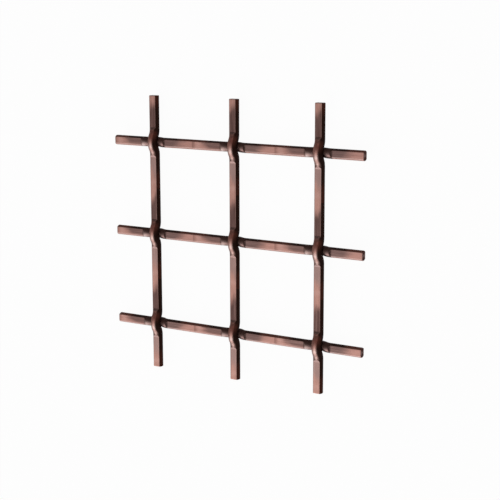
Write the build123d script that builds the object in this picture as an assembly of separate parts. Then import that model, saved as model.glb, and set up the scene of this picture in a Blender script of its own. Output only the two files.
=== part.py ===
from build123d import *
import math
import os

# Decorative grille sheet: a small cut piece of crimped wire mesh, lying on its back.
# Three upright wires run along Y and three cross wires along X. At every crossing the upright
# bows up over the cross wire, the cross wire bows down under the upright, and the two are
# resistance welded. Between the crossings all six wires lie in one plane, where their fronts
# and backs are pressed flat. The origin is under the middle of the sheet, at its lowest point.

# Driving dimensions, in mm
pitch = 38.1             # wire spacing, centre to centre, 1 1/2 in both ways
end_overhang = 19.05     # from the outermost crossing to the cut end of a wire
wire_dia = 4.0           # round wire before it is pressed
flat_thickness = 2.9     # wire thickness where front and back are pressed flat
weld_setdown = 0.8       # how far the two wires sink into each other at a weld
crimp_half_length = 5.2  # from a crossing to where its crimp starts to bend
bevel_length = 0.8       # slope from the round crimp down to the full depth of the flat
end_chamfer = 0.2        # broken edge round each cut end
press_clearance = 0.2    # how far the press tool stands clear outside the wire

# Worked out from them
wire_radius = wire_dia / 2
crimp_rise = wire_radius - weld_setdown / 2
mid_plane = crimp_rise + wire_radius
bend_angle = 2 * math.degrees(math.atan(crimp_rise / crimp_half_length))
bend_radius = (crimp_rise**2 + crimp_half_length**2) / (4 * crimp_rise)
half_length = pitch + end_overhang
crossings = (-pitch, 0, pitch)
flat_start = crimp_half_length + bevel_length


def wire_path():
    """Centre line of one wire along X: straight runs joined by crimps that rise towards +Y."""
    edges = []
    tip = Vector(-half_length, 0)
    for crossing in crossings:
        run = Line(tip, (crossing - crimp_half_length, 0))
        rise = JernArc(run @ 1, run % 1, bend_radius, bend_angle)
        crown = JernArc(rise @ 1, rise % 1, bend_radius, -2 * bend_angle)
        fall = JernArc(crown @ 1, crown % 1, bend_radius, bend_angle)
        edges += [run, rise, crown, fall]
        tip = fall @ 1
    edges.append(Line(tip, (half_length, 0)))
    return Wire(edges)


def press_tool(start, end):
    """The tool that presses one straight run flat from the +Y side, sloped at both its ends."""
    flat = flat_thickness / 2
    top = wire_radius + press_clearance
    slope = bevel_length * (top - flat) / (wire_radius - flat)
    profile = Polyline(
        (start, flat), (end, flat), (end + slope, top), (start - slope, top), close=True
    )
    return extrude(make_face(profile), wire_dia, both=True)


def pressed_wire():
    """One whole wire, drawn along X with its crimps towards +Y."""
    path = wire_path()
    body = sweep(Plane(path @ 0, z_dir=path % 0) * Circle(wire_radius), path)
    starts = [-half_length - flat_start] + [crossing + flat_start for crossing in crossings]
    ends = [crossing - flat_start for crossing in crossings] + [half_length + flat_start]
    for start, end in zip(starts, ends):
        tool = press_tool(start, end)
        body = body - tool - mirror(tool, about=Plane.XZ)
    end_faces = body.faces().filter_by(Axis.X).sort_by(Axis.X)
    end_edges = end_faces[0].edges() + end_faces[-1].edges()
    return chamfer(end_edges, end_chamfer)


def over(position):
    """Plane that lays a wire along Y at X = position, with its crimps up."""
    return Plane((position, 0, mid_plane), x_dir=(0, 1, 0), z_dir=(1, 0, 0))


def under(position):
    """Plane that lays a wire along X at Y = position, with its crimps down."""
    return Plane((0, position, mid_plane), x_dir=(1, 0, 0), z_dir=(0, 1, 0))


wire = pressed_wire()
uprights = {
    "upright_wire_left": over(-pitch) * wire,
    "upright_wire_middle": over(0) * wire,
    "upright_wire_right": over(pitch) * wire,
}
cross_wires = {
    "cross_wire_lower": under(-pitch) * wire,
    "cross_wire_middle": under(0) * wire,
    "cross_wire_upper": under(pitch) * wire,
}

# Weld seats: where two wires would share the same space, the upright keeps what lies above
# the middle plane and the cross wire keeps what lies below it, so they meet face to face.
seat_size = 4 * wire_dia
above = Pos(0, 0, mid_plane) * Box(
    seat_size, seat_size, seat_size, align=(Align.CENTER, Align.CENTER, Align.MIN)
)
below = Pos(0, 0, mid_plane) * Box(
    seat_size, seat_size, seat_size, align=(Align.CENTER, Align.CENTER, Align.MAX)
)
shared = (over(0) * wire) & (under(0) * wire)
shared_above = shared & above
shared_below = shared & below
spots = [Pos(x, y, 0) for x in crossings for y in crossings]

for name, upright in uprights.items():
    for spot in spots:
        upright = upright - spot * shared_below
    uprights[name] = upright
for name, cross_wire in cross_wires.items():
    for spot in spots:
        cross_wire = cross_wire - spot * shared_above
    cross_wires[name] = cross_wire

os.makedirs("parts", exist_ok=True)
for name, shape in (uprights | cross_wires).items():
    export_step(shape, f"parts/{name}.step")
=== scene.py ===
import math

import bpy
from mathutils import Matrix, Vector


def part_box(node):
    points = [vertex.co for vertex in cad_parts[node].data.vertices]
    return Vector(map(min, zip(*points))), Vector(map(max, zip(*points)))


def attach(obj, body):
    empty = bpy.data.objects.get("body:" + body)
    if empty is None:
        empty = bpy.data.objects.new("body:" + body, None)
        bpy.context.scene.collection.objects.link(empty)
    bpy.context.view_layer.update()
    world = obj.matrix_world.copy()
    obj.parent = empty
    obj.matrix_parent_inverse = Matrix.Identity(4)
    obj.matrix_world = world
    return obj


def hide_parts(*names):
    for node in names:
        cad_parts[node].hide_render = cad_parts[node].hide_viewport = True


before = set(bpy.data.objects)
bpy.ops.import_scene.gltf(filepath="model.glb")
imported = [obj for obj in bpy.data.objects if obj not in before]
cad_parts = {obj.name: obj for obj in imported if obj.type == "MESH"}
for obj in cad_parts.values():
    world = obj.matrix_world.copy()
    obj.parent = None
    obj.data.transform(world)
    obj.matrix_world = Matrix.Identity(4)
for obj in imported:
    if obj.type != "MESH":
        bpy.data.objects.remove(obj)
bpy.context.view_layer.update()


# The three upright wires.
# Each is one length of round steel wire, copper plated. It is crimped to bow forward over the
# three cross wires and pressed flat, front and back, between the crimps. The crossings are
# resistance welded, so each wire stops in a seat on the other where the two touch.
PITCH = 0.0381
HALF_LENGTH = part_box("upright_wire_middle")[1].y
WIRE_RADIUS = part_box("upright_wire_middle")[1].x
MID_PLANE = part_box("upright_wire_middle")[1].z / 2
CRIMP_RISE = MID_PLANE - WIRE_RADIUS
CRIMP_HALF_LENGTH = 0.0052
BEND_RADIUS = (CRIMP_RISE**2 + CRIMP_HALF_LENGTH**2) / (4 * CRIMP_RISE)
FLAT_HALF_THICKNESS = 0.00145
BEVEL_LENGTH = 0.0008
EDGE_SOFTNESS = 0.00022
CUT_EDGE = 0.0002
RING_SPACING = 0.00025
POINTS_ROUND = 96


class Reading:
    """One output of a node. Arithmetic written with it adds the Math nodes that do it."""

    def __init__(self, tree, socket=None):
        self.tree = tree
        self.socket = socket

    def node(self, kind, inputs=(), output=0, **settings):
        """Adds a node: its settings come first, then the values or links of its sockets."""
        made = self.tree.nodes.new(kind)
        for name, setting in settings.items():
            setattr(made, name, setting)
        for place, given in dict(inputs).items():
            if isinstance(given, Reading):
                self.tree.links.new(given.socket, made.inputs[place])
            else:
                made.inputs[place].default_value = given
        return Reading(self.tree, made.outputs[output])

    def from_output(self, place):
        """Another output of the same node."""
        return Reading(self.tree, self.socket.node.outputs[place])

    def math(self, operation, *others):
        return self.node("ShaderNodeMath", dict(enumerate((self, *others))), operation=operation)

    def __add__(self, other):
        return self.math("ADD", other)

    __radd__ = __add__

    def __sub__(self, other):
        return self.math("SUBTRACT", other)

    def __rsub__(self, other):
        return self.node("ShaderNodeMath", {0: other, 1: self}, operation="SUBTRACT")

    def __mul__(self, other):
        return self.math("MULTIPLY", other)

    __rmul__ = __mul__

    def __truediv__(self, other):
        return self.math("DIVIDE", other)

    def __neg__(self):
        return 0 - self

    def __abs__(self):
        return self.math("ABSOLUTE")

    def step(self, start, end, low=0.0, high=1.0):
        """Smooth change from low, where the reading is start, to high, where it is end."""
        sockets = {0: self, 1: start, 2: end, 3: low, 4: high}
        return self.node("ShaderNodeMapRange", sockets, interpolation_type="SMOOTHSTEP")

    def mix(self, below, above):
        """Colour that goes from below to above as this reading goes from 0 to 1."""
        return self.node("ShaderNodeMix", {0: self, 6: below, 7: above}, 2, data_type="RGBA")


def crimping_press():
    """Geometry Nodes that crimp and press one wire, drawn along X with its crimps towards +Z."""
    tree = bpy.data.node_groups.new("crimping_press", "GeometryNodeTree")
    sizes = (
        ("Pitch", "NodeSocketFloat"),
        ("Half Length", "NodeSocketFloat"),
        ("Wire Radius", "NodeSocketFloat"),
        ("Flat Half Thickness", "NodeSocketFloat"),
        ("Bevel Length", "NodeSocketFloat"),
        ("Crimp Rise", "NodeSocketFloat"),
        ("Crimp Half Length", "NodeSocketFloat"),
        ("Bend Radius", "NodeSocketFloat"),
        ("Edge Softness", "NodeSocketFloat"),
        ("Cut Edge", "NodeSocketFloat"),
        ("Ring Spacing", "NodeSocketFloat"),
        ("Points Round", "NodeSocketInt"),
        ("Seed", "NodeSocketFloat"),
        ("Place", "NodeSocketVector"),
        ("Turn", "NodeSocketVector"),
        ("Finish", "NodeSocketMaterial"),
    )
    for name, kind in sizes:
        tree.interface.new_socket(name, in_out="INPUT", socket_type=kind)
    tree.interface.new_socket("Wire", in_out="OUTPUT", socket_type="NodeSocketGeometry")
    entry = tree.nodes.new("NodeGroupInput")
    size = {name: Reading(tree, entry.outputs[name]) for name, _ in sizes}
    start = Reading(tree)

    # A flat grid is rolled into the tube. Its last rows at each end make the broken edge of the
    # cut and then close the cut face.
    edge_rows = 0.0012
    face_rows = 0.0020
    radius = size["Wire Radius"]
    straight = size["Half Length"] - size["Cut Edge"]
    reach = (straight + edge_rows + face_rows) * 2
    rings = (reach / size["Ring Spacing"]).math("CEIL")
    grid = start.node(
        "GeometryNodeMeshGrid",
        {0: reach, 1: 2 * math.pi, 2: rings, 3: size["Points Round"] + 1},
    )
    row = start.node("ShaderNodeSeparateXYZ", {0: start.node("GeometryNodeInputPosition")})
    angle = row.from_output(1)
    far = abs(row)
    turned = ((far - straight) / edge_rows).math("MAXIMUM", 0).math("MINIMUM", 1) * (math.pi / 2)
    closing = ((far - straight - edge_rows) / face_rows).math("MAXIMUM", 0).math("MINIMUM", 1)
    to_edge = far.math("MINIMUM", straight) + turned.math("SINE") * size["Cut Edge"]
    along = row.math("SIGN") * to_edge
    shrink = (1 - (1 - turned.math("COSINE")) * size["Cut Edge"] / radius) * (1 - closing)

    # Height and slope of the centre line, from two arcs each side of every crossing.
    beside = along - (along / size["Pitch"]).math("ROUND") * size["Pitch"]
    away = abs(beside)
    bend = size["Bend Radius"]
    half = size["Crimp Half Length"]
    lower = (half - away).math("MAXIMUM", 0).math("MINIMUM", half / 2)
    upper = away.math("MINIMUM", half / 2)
    on_crown = away.math("LESS_THAN", half / 2)
    low_arc = bend - (bend * bend - lower * lower).math("SQRT")
    high_arc = size["Crimp Rise"] - bend + (bend * bend - upper * upper).math("SQRT")
    height = on_crown * high_arc + (1 - on_crown) * low_arc
    lean = (on_crown * upper + (1 - on_crown) * lower) / bend
    sine = -(lean * beside.math("SIGN"))
    cosine = (1 - lean * lean).math("SQRT")

    # Round section, pressed flat on two sides and sloped up to the round crimp at each end. The
    # press goes deeper in some places than in others, and its bevels start early or late.
    drifts_per_metre = 90
    bevel_drift = 0.0006
    depth_drift = 0.00004
    pressing = start.node(
        "ShaderNodeCombineXYZ",
        {0: along * drifts_per_metre, 1: size["Seed"], 2: angle.math("SIGN")},
    )
    drift = start.node("ShaderNodeTexNoise", {"Vector": pressing, "Scale": 1.0, "Detail": 1.0})
    flat_end = half + size["Bevel Length"]
    into_crimp = (flat_end - away + (drift - 0.5) * bevel_drift).math("MAXIMUM", 0)
    ramp = into_crimp * (radius - size["Flat Half Thickness"]) / size["Bevel Length"]
    limit = size["Flat Half Thickness"] + ramp - drift * depth_drift
    section_side = radius * angle.math("COSINE") * shrink
    upright = radius * angle.math("SINE")
    pressed = abs(upright).math("SMOOTH_MIN", limit, size["Edge Softness"])
    section_up = pressed * upright.math("SIGN") * shrink

    # The weld seat: below the middle of the sheet the wire stops at the one that it sits on.
    # Beside that one the seat is out of reach.
    out_of_reach = 1.0
    x = along - sine * section_up
    y = section_side
    z = height + cosine * section_up
    near = x - (along / size["Pitch"]).math("ROUND") * size["Pitch"]
    other_axis = bend - size["Crimp Rise"] - (bend * bend - y * y).math("SQRT")
    other_top = other_axis + (radius * radius - near * near).math("MAXIMUM", 0).math("SQRT")
    outside = abs(near).math("GREATER_THAN", radius)
    seat = other_top.math("MINIMUM", 0) - outside * out_of_reach
    z = z.math("MAXIMUM", seat)

    tube = start.node(
        "GeometryNodeStoreNamedAttribute",
        {"Geometry": grid, "Name": "press_depth", "Value": abs(upright) - limit},
        data_type="FLOAT",
        domain="POINT",
    )
    placed = start.node("ShaderNodeCombineXYZ", {0: x, 1: y, 2: z})
    tube = start.node("GeometryNodeSetPosition", {"Geometry": tube, "Position": placed})
    seam = 0.000002
    tube = start.node("GeometryNodeMergeByDistance", {"Geometry": tube, "Distance": seam})
    tube = start.node("GeometryNodeFlipFaces", {"Mesh": tube})
    tube = start.node("GeometryNodeSetShadeSmooth", {"Geometry": tube})
    tube = start.node(
        "GeometryNodeTransform",
        {"Geometry": tube, "Translation": size["Place"], "Rotation": size["Turn"]},
    )
    tube = start.node("GeometryNodeRealizeInstances", {"Geometry": tube})
    tube = start.node("GeometryNodeSetMaterial", {"Geometry": tube, "Material": size["Finish"]})
    leave = tree.nodes.new("NodeGroupOutput")
    tree.links.new(tube.socket, leave.inputs[0])
    return tree


press = crimping_press()


def make_wire(name, place, turn, seed, finish):
    """One finished wire as a plain mesh, which stands for the CAD node of the same name."""
    blank = bpy.data.objects.new(name + "_blank", bpy.data.meshes.new(name + "_blank"))
    bpy.context.scene.collection.objects.link(blank)
    stroke = blank.modifiers.new("stroke", "NODES")
    stroke.node_group = press
    settings = {
        "Pitch": PITCH,
        "Half Length": HALF_LENGTH,
        "Wire Radius": WIRE_RADIUS,
        "Flat Half Thickness": FLAT_HALF_THICKNESS,
        "Bevel Length": BEVEL_LENGTH,
        "Crimp Rise": CRIMP_RISE,
        "Crimp Half Length": CRIMP_HALF_LENGTH,
        "Bend Radius": BEND_RADIUS,
        "Edge Softness": EDGE_SOFTNESS,
        "Cut Edge": CUT_EDGE,
        "Ring Spacing": RING_SPACING,
        "Points Round": POINTS_ROUND,
        "Seed": seed,
        "Place": place,
        "Turn": turn,
        "Finish": finish,
    }
    for item in press.interface.items_tree:
        if item.in_out == "INPUT":
            stroke[item.identifier] = settings[item.name]
    graph = bpy.context.evaluated_depsgraph_get()
    mesh = bpy.data.meshes.new_from_object(blank.evaluated_get(graph))
    mesh.name = name + "_finished"
    bpy.data.objects.remove(blank)
    wire = bpy.data.objects.new(name + "_finished", mesh)
    bpy.context.scene.collection.objects.link(wire)
    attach(wire, "root")
    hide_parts(name)
    return wire


def tint(*levels):
    """Colour for a socket from the 0 to 255 levels that a paint chart gives."""
    linear = []
    for level in levels:
        share = level / 255
        linear.append(share / 12.92 if share <= 0.04045 else ((share + 0.055) / 1.055) ** 2.4)
    return (*linear, 1.0)


def antique_copper(name, lengthwise, reach, tones):
    """Copper plate, darkened all over and then relieved with a brush where it stands proud, with
    painted highlights, reflections and shade in its colour.

    lengthwise is 0 for a wire along X and 1 for one along Y. reach holds how far from a
    crossing, or how far round the wire, each part of the finish goes.
    """
    finish = bpy.data.materials.new(name)
    finish.use_nodes = True
    tree = finish.node_tree
    tree.nodes.clear()
    start = Reading(tree)
    spot = start.node("ShaderNodeTexCoord", output=3)
    place = start.node("ShaderNodeSeparateXYZ", {0: spot})
    along = place.from_output(lengthwise)
    across = place.from_output(1 - lengthwise)
    beside = along - (along / PITCH).math("ROUND") * PITCH
    sideways = across - (across / PITCH).math("ROUND") * PITCH
    after_crossing = beside.math("GREATER_THAN", 0)
    before_crossing = 1 - after_crossing
    facing = start.node("ShaderNodeSeparateXYZ", {0: start.node("ShaderNodeNewGeometry", output=1)})
    facing_top = facing.from_output(1)
    facing_front = facing.from_output(2)
    facing_end = facing.from_output(lengthwise)
    facing_across = facing.from_output(1 - lengthwise)
    press_depth = start.node("ShaderNodeAttribute", output=2, attribute_name="press_depth")

    # Brush lines along the wire, smoky streaks and a slow cloud of uneven patina.
    def drawn_noise(fine, slow, detail):
        stretch = [fine, fine, fine]
        stretch[lengthwise] = slow
        drawn = start.node("ShaderNodeVectorMath", {0: spot, 1: stretch}, operation="MULTIPLY")
        return start.node("ShaderNodeTexNoise", {"Vector": drawn, "Scale": 1.0, "Detail": detail})

    lines = drawn_noise(6500, 60, 2.0)
    streaks = drawn_noise(700, 150, 3.0)
    cloud = start.node("ShaderNodeTexNoise", {"Vector": spot, "Scale": 160.0, "Detail": 3.0})

    # The pressed flats are brushed bare, with a jaw mark at the middle of each span. Beside each
    # crossing the flat gets painted shade and reflection in darker, greyer tones, and a brighter
    # band is mixed in a little before the middle of each span.
    ragged = abs(beside) + (streaks - 0.5) * 0.006 - sideways
    shade_after = ragged.step(*reach["shade_after"]) * after_crossing
    shade_before = ragged.step(*reach["shade_before"]) * before_crossing
    shade_before = shade_before * sideways.step(-0.0013, -0.0002, reach["shade_before_low"], 1.0)
    # One long edge of each flat takes the smoke tone as painted shade.
    flat = sideways.step(*reach["shaded_edge"], 0.0, 0.30).mix(tones["bare"], tones["smoke_and_shade"])
    flat = shade_after.mix(flat, tones["shade_after"])
    flat = shade_before.mix(flat, tones["shade_before"])
    bright_band = abs(beside + 0.0163).step(0.0020, 0.0) * 0.25
    flat = (lines.step(0.42, 0.78, 0.0, 0.30) + bright_band).mix(flat, tones["line"])
    flat = streaks.step(0.30, 0.62, 0.16, 0.0).mix(flat, tones["smoke_and_shade"])
    jaw = (beside + (streaks - 0.5) * 0.0012).step(-0.0172, -0.01895) * reach["jaw"]
    flat = jaw.mix(flat, tones["smoke_and_shade"])

    # Each flat ends in a short bevel, painted darker; after a crossing that darker bevel is painted
    # shade. Before a crossing, the crease where it turns down into the crimp gets a painted
    # highlight.
    far_bevel_shade = beside.step(0.0061, 0.0058) * after_crossing
    flat = (far_bevel_shade * reach["far_bevel_shade"]).mix(flat, tones["far_bevel_shade"])
    near_bevel = beside.step(-0.0062, -0.0059) * before_crossing
    flat = (near_bevel * reach["near_bevel"]).mix(flat, tones["near_bevel"])
    crease_highlight = abs(beside + 0.00585).step(0.0002, 0.0) * reach["crease_highlight"]
    flat = crease_highlight.mix(flat, tones["crease_highlight"])

    # The round sides keep the dark coat, painted darker as the shade they lie in. They are redder
    # along the bare lengths, as a painted reflection, and at the tips. Those facing the light, on
    # the left and below, get a lighter tone as painted light.
    redder = (-beside).step(0.0105, 0.0140) + beside.step(0.0112, 0.0135) * reach["red_after"]
    redder = redder.math("MAXIMUM", along.step(0.0510, 0.0550))
    side = redder.mix(tones["side"], tones["side_red"])
    in_crimp = abs(beside).step(0.0062, 0.0050)
    lit_side = (-facing_across).step(0.15, 0.75) * (1 - in_crimp)
    side = lit_side.mix(side, tones["lit_side"])

    # The crimps are rubbed along the ridge that stands proud. The ridge is held to the side towards
    # the light, so the flank away from it is painted shade. Upper faces get a redder painted shade
    # and lit flanks a lighter painted tone. Below the crown, in a short glint where the ridge runs
    # out and on the low side of the front where they start, they get painted highlights. The low
    # side after a crossing gets painted shade, and towards each end the ridge takes darker tones.
    foot = beside.step(-0.0020, -0.0048)
    near_end = beside.step(-0.0014, -0.0032)
    far_end = beside.step(0.0032, 0.0046)
    ridge = (facing_across - foot * 0.16 + (cloud - 0.5) * 0.06).step(*reach["ridge_edge"])
    ridge = ridge * (facing_across - foot * 0.22 - facing_end * 0.45).step(*reach["ridge_fade"])
    pale_highlight = beside.step(*reach["highlight_from"]) * beside.step(*reach["highlight_to"])
    pale_highlight = pale_highlight.math("MAXIMUM", beside.step(0.0043, 0.0049) * 0.25)
    ridge_wear_and_light = ((-facing_top).step(-0.10, 0.28) * pale_highlight).mix(tones["ridge"], tones["pale_highlight"])
    upper = facing_top.step(-0.05, 0.42)
    flank = upper.mix(tones["flank"], tones["flank_upper_shade"])
    flank = (-facing_across).step(0.20, 0.60).mix(flank, tones["flank_lit"])
    ridge_wear_and_light = (upper * facing_across.step(-0.70, 0.20)).mix(ridge_wear_and_light, tones["ridge_upper_shade"])
    ridge_wear_and_light = far_end.mix(ridge_wear_and_light, tones["far_end"])
    ridge_wear_and_light = (near_end * reach["near_end"]).mix(ridge_wear_and_light, tones["near_end"])
    glint = abs(beside + 0.0045).step(0.0009, 0.0002) * facing_across.step(0.45, 0.10)
    ridge_wear_and_light = (glint * reach["glint"]).mix(ridge_wear_and_light, tones["pale_highlight"])
    low_end_shade = beside.step(0.0015, 0.0030) * (-facing_across).step(0.25, 0.85)
    ridge_wear_and_light = (low_end_shade * reach["low_end_shade"]).mix(ridge_wear_and_light, tones["flank"])
    low_front = (-facing_across).step(0.35, 0.75) * facing_front.step(-0.30, 0.05)
    low_highlight = beside.step(-0.0034, -0.0050) * low_front
    ridge_wear_and_light = (low_highlight * reach["low_highlight"]).mix(ridge_wear_and_light, tones["low_highlight"])
    tone = in_crimp.mix(side, ridge.mix(flank, ridge_wear_and_light))

    # Along the edges of each flat a pale line is a painted highlight, palest along its low edge.
    on_flat = press_depth.step(-0.00001, 0.00005)
    tone = on_flat.mix(tone, flat)
    edge_highlight = abs(press_depth - 0.00007).step(0.00007, 0.0) * 0.35
    low_edge_highlight = sideways.step(-0.0010, -0.00135) * on_flat * reach["low_edge_highlight"]
    tone = edge_highlight.mix(tone, tones["edge_highlight"])
    tone = low_edge_highlight.mix(tone, tones["low_highlight"])

    # Painted shade lies in the fold between crimp and bevel after a crossing, on a slight slant,
    # and the cut ends keep a dull saw face.
    slant = beside + sideways * 0.15
    fold_shade = abs(slant - 0.0053).step(0.00042, 0.0001) * reach["fold_shade"]
    tone = fold_shade.mix(tone, tones["flank"])
    tone = abs(facing_end).step(0.90, 0.98).mix(tone, tones["cut_face"])

    # Bare copper is smoother than patina, and the rubbed crimps still have their lacquer.
    patina_roughness = 0.60
    brush_polish = 0.26
    bare_metallic = 0.90
    bare_metal = on_flat.math("MAXIMUM", ridge * in_crimp).math("MAXIMUM", lit_side)
    lacquer = in_crimp * ridge * (1 - far_end) * (1 - near_end * 0.5)
    scratches = start.node("ShaderNodeBump", {0: 0.10, 1: 0.00004, "Height": lines + streaks * 0.4})
    shader = start.node(
        "ShaderNodeBsdfPrincipled",
        {
            "Base Color": tone,
            "Roughness": patina_roughness - bare_metal * brush_polish + (cloud - 0.5) * 0.10,
            "Metallic": bare_metal * bare_metallic,
            "Specular IOR Level": 0.03,
            "Coat Weight": lacquer * facing_across.step(-0.70, 0.0, 0.1, 0.8),
            "Coat Roughness": 0.22,
            "Normal": scratches,
        },
    )
    leave = tree.nodes.new("ShaderNodeOutputMaterial")
    tree.links.new(shader.socket, leave.inputs["Surface"])
    return finish


upright_finish = antique_copper(
    "upright_antique_copper",
    lengthwise=1,
    reach={
        "shade_after": (0.0178, 0.0125),
        "shade_before": (0.0152, 0.0102),
        "shade_before_low": 1.0,
        "shaded_edge": (0.0002, 0.0014),
        "jaw": 0.0,
        "far_bevel_shade": 0.5,
        "near_bevel": 1.0,
        "crease_highlight": 0.3,
        "fold_shade": 0.0,
        "low_edge_highlight": 0.0,
        "red_after": 0.0,
        "ridge_edge": (0.60, 0.20),
        "ridge_fade": (-0.85, 0.08),
        "near_end": 1.0,
        "glint": 0.5,
        "low_highlight": 0.0,
        "low_end_shade": 0.0,
        "highlight_from": (0.0010, -0.0008),
        "highlight_to": (-0.0036, -0.0016),
    },
    tones={
        "bare": tint(182, 136, 124),
        "shade_after": tint(90, 66, 62),
        "shade_before": tint(157, 127, 121),
        "line": tint(206, 168, 158),
        "smoke_and_shade": tint(120, 86, 80),
        "far_bevel_shade": tint(132, 100, 94),
        "near_bevel": tint(124, 98, 94),
        "crease_highlight": tint(226, 196, 190),
        "side": tint(48, 27, 20),
        "side_red": tint(75, 38, 28),
        "lit_side": tint(136, 92, 82),
        "flank": tint(44, 26, 21),
        "flank_lit": tint(122, 86, 78),
        "flank_upper_shade": tint(96, 54, 44),
        "ridge": tint(184, 134, 122),
        "ridge_upper_shade": tint(154, 90, 77),
        "far_end": tint(124, 86, 78),
        "near_end": tint(147, 113, 105),
        "pale_highlight": tint(190, 160, 152),
        "low_highlight": tint(200, 160, 150),
        "edge_highlight": tint(200, 160, 150),
        "cut_face": tint(90, 54, 46),
    },
)
uprights = (("left", -PITCH), ("middle", 0), ("right", PITCH))
for number, (which, x) in enumerate(uprights):
    quarter_turn = (0, 0, math.pi / 2)
    place = (x, 0, MID_PLANE)
    make_wire("upright_wire_" + which, place, quarter_turn, 3.7 * number, upright_finish)


# The three cross wires.
# The same crimped and pressed wire as the uprights, laid across behind them with its crimps
# bowed back, so that it passes under each upright and is welded to it there.
cross_finish = antique_copper(
    "cross_antique_copper",
    lengthwise=0,
    reach={
        "shade_after": (0.0168, 0.0097),
        "shade_before": (0.0162, 0.0110),
        "shade_before_low": 0.40,
        "shaded_edge": (0.0012, 0.0020),
        "jaw": 0.45,
        "far_bevel_shade": 0.2,
        "near_bevel": 0.35,
        "crease_highlight": 0.0,
        "fold_shade": 1.0,
        "low_edge_highlight": 0.5,
        "red_after": 1.0,
        "ridge_edge": (0.60, -0.45),
        "ridge_fade": (-2.0, -1.9),
        "near_end": 0.3,
        "glint": 0.3,
        "low_highlight": 0.7,
        "low_end_shade": 0.85,
        "highlight_from": (-0.0022, -0.0048),
        "highlight_to": (-0.0070, -0.0060),
    },
    tones={
        "bare": tint(184, 137, 126),
        "shade_after": tint(114, 89, 85),
        "shade_before": tint(116, 88, 83),
        "line": tint(206, 168, 158),
        "smoke_and_shade": tint(104, 72, 66),
        "far_bevel_shade": tint(76, 54, 49),
        "near_bevel": tint(92, 66, 60),
        "crease_highlight": tint(196, 150, 140),
        "side": tint(56, 37, 32),
        "side_red": tint(106, 66, 56),
        "lit_side": tint(172, 127, 116),
        "flank": tint(76, 54, 49),
        "flank_lit": tint(104, 68, 60),
        "flank_upper_shade": tint(76, 54, 49),
        "ridge": tint(128, 101, 96),
        "ridge_upper_shade": tint(112, 82, 74),
        "far_end": tint(144, 114, 109),
        "near_end": tint(128, 101, 96),
        "pale_highlight": tint(141, 117, 111),
        "low_highlight": tint(206, 186, 182),
        "edge_highlight": tint(196, 150, 140),
        "cut_face": tint(84, 52, 46),
    },
)
crosses = (("lower", -PITCH), ("middle", 0), ("upper", PITCH))
for number, (which, y) in enumerate(crosses):
    face_down = (math.pi, 0, 0)
    place = (0, y, MID_PLANE)
    make_wire("cross_wire_" + which, place, face_down, 40 + 3.7 * number, cross_finish)


# The floor.
# A plain white table top, on which the sheet lies on its back. The camera and the metal see it
# white, and it still takes the sheet's soft shadow.
FLOOR_WIDTH = 12
FLOOR_DROP = 0.00002
SHARE_SEEN_WHITE = 0.96
bpy.ops.mesh.primitive_plane_add(size=FLOOR_WIDTH, location=(0, 0, -FLOOR_DROP))
floor = bpy.context.object
floor.name = "floor"
floor_paper = bpy.data.materials.new("white_floor")
floor_paper.use_nodes = True
floor_paper.node_tree.nodes.clear()
start = Reading(floor_paper.node_tree)
paper = start.node("ShaderNodeBsdfDiffuse", {"Color": (0.95, 0.95, 0.95, 1)})
white = start.node("ShaderNodeEmission", {"Color": (1, 1, 1, 1), "Strength": 1.0})
camera_ray = start.node("ShaderNodeLightPath", output="Is Camera Ray")
glossy_ray = camera_ray.from_output("Is Glossy Ray")
clear_ray = camera_ray.from_output("Is Transmission Ray")
seen = (camera_ray + glossy_ray + clear_ray).math("MINIMUM", 1)
floor_shader = start.node("ShaderNodeMixShader", {0: seen * SHARE_SEEN_WHITE, 1: paper, 2: white})
leave = floor_paper.node_tree.nodes.new("ShaderNodeOutputMaterial")
floor_paper.node_tree.links.new(floor_shader.socket, leave.inputs["Surface"])
floor.data.materials.append(floor_paper)


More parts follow.
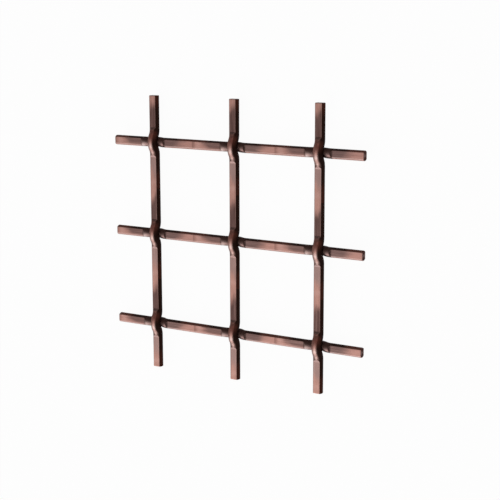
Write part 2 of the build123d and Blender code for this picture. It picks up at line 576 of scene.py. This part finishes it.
# The light.
# One wide soft light from the lower left, with a softbox low in front of the sheet, in an even
# and dim studio. The metal also shows the pale walls of the side away from the light.
DIM_STUDIO = 0.26
WIDE_LIGHT = 1.5
SOFTBOX = 0.5
PALE_WALL = 0.45
studio = bpy.data.worlds.new("studio")
bpy.context.scene.world = studio
studio.use_nodes = True
studio.node_tree.nodes.clear()
start = Reading(studio.node_tree)
look = start.node("ShaderNodeTexCoord", output=0)
look_right = start.node("ShaderNodeSeparateXYZ", {0: look})
look_top = look_right.from_output(1)
from_left = look_right.step(0.45, -0.20) * look_right.step(-1.00, -0.30, 0.60, 1.05)
from_below = look_top.step(0.45, -0.75)
BOX_WAY = tuple(Vector((-0.50, -0.73, 0.47)).normalized())
to_box = start.node("ShaderNodeVectorMath", {0: look, 1: BOX_WAY}, 1, operation="DOT_PRODUCT")
softbox = to_box.step(0.90, 0.985) * SOFTBOX
look_high = look_right.from_output(2)
seen_in_metal = start.node("ShaderNodeLightPath", output="Is Glossy Ray")
pale_wall = look_right.step(-0.40, -0.05) * look_high.step(0.80, 0.45) * seen_in_metal * PALE_WALL
level = DIM_STUDIO + from_left * from_below * WIDE_LIGHT + softbox + pale_wall
glow = start.node("ShaderNodeBackground", {"Color": (1, 1, 1, 1), "Strength": level})
leave = studio.node_tree.nodes.new("ShaderNodeOutputWorld")
studio.node_tree.links.new(glow.socket, leave.inputs["Surface"])


# The camera, where the photograph's view has it: to the right of the sheet, a little above it,
# with a long lens.
DISTANCE = 13.48234 * PITCH
TO_THE_RIGHT = math.radians(30.480)
UPWARD = math.radians(11.188)
ROLL = math.radians(-0.142)
AIM = Vector((0.18615 * PITCH, -0.06975 * PITCH, MID_PLANE))
FOCAL_PIXELS = 1287.2
PICTURE_PIXELS = 500
SENSOR_WIDTH = 36
camera_data = bpy.data.cameras.new("camera")
camera_data.sensor_width = SENSOR_WIDTH
camera_data.lens = FOCAL_PIXELS * SENSOR_WIDTH / PICTURE_PIXELS
camera_data.clip_start = 0.01
camera_data.clip_end = 30
camera = bpy.data.objects.new("camera", camera_data)
bpy.context.scene.collection.objects.link(camera)
toward = Vector(
    (
        math.sin(TO_THE_RIGHT) * math.cos(UPWARD),
        math.sin(UPWARD),
        math.cos(TO_THE_RIGHT) * math.cos(UPWARD),
    )
)
right = Vector((0, 1, 0)).cross(toward).normalized()
up = toward.cross(right)
look_at = Matrix((right, up, toward)).transposed().to_4x4()
stand = Matrix.Translation(AIM + toward * DISTANCE)
camera.matrix_world = stand @ look_at @ Matrix.Rotation(ROLL, 4, "Z")
bpy.context.scene.camera = camera
bpy.context.scene.view_settings.view_transform = "Standard"
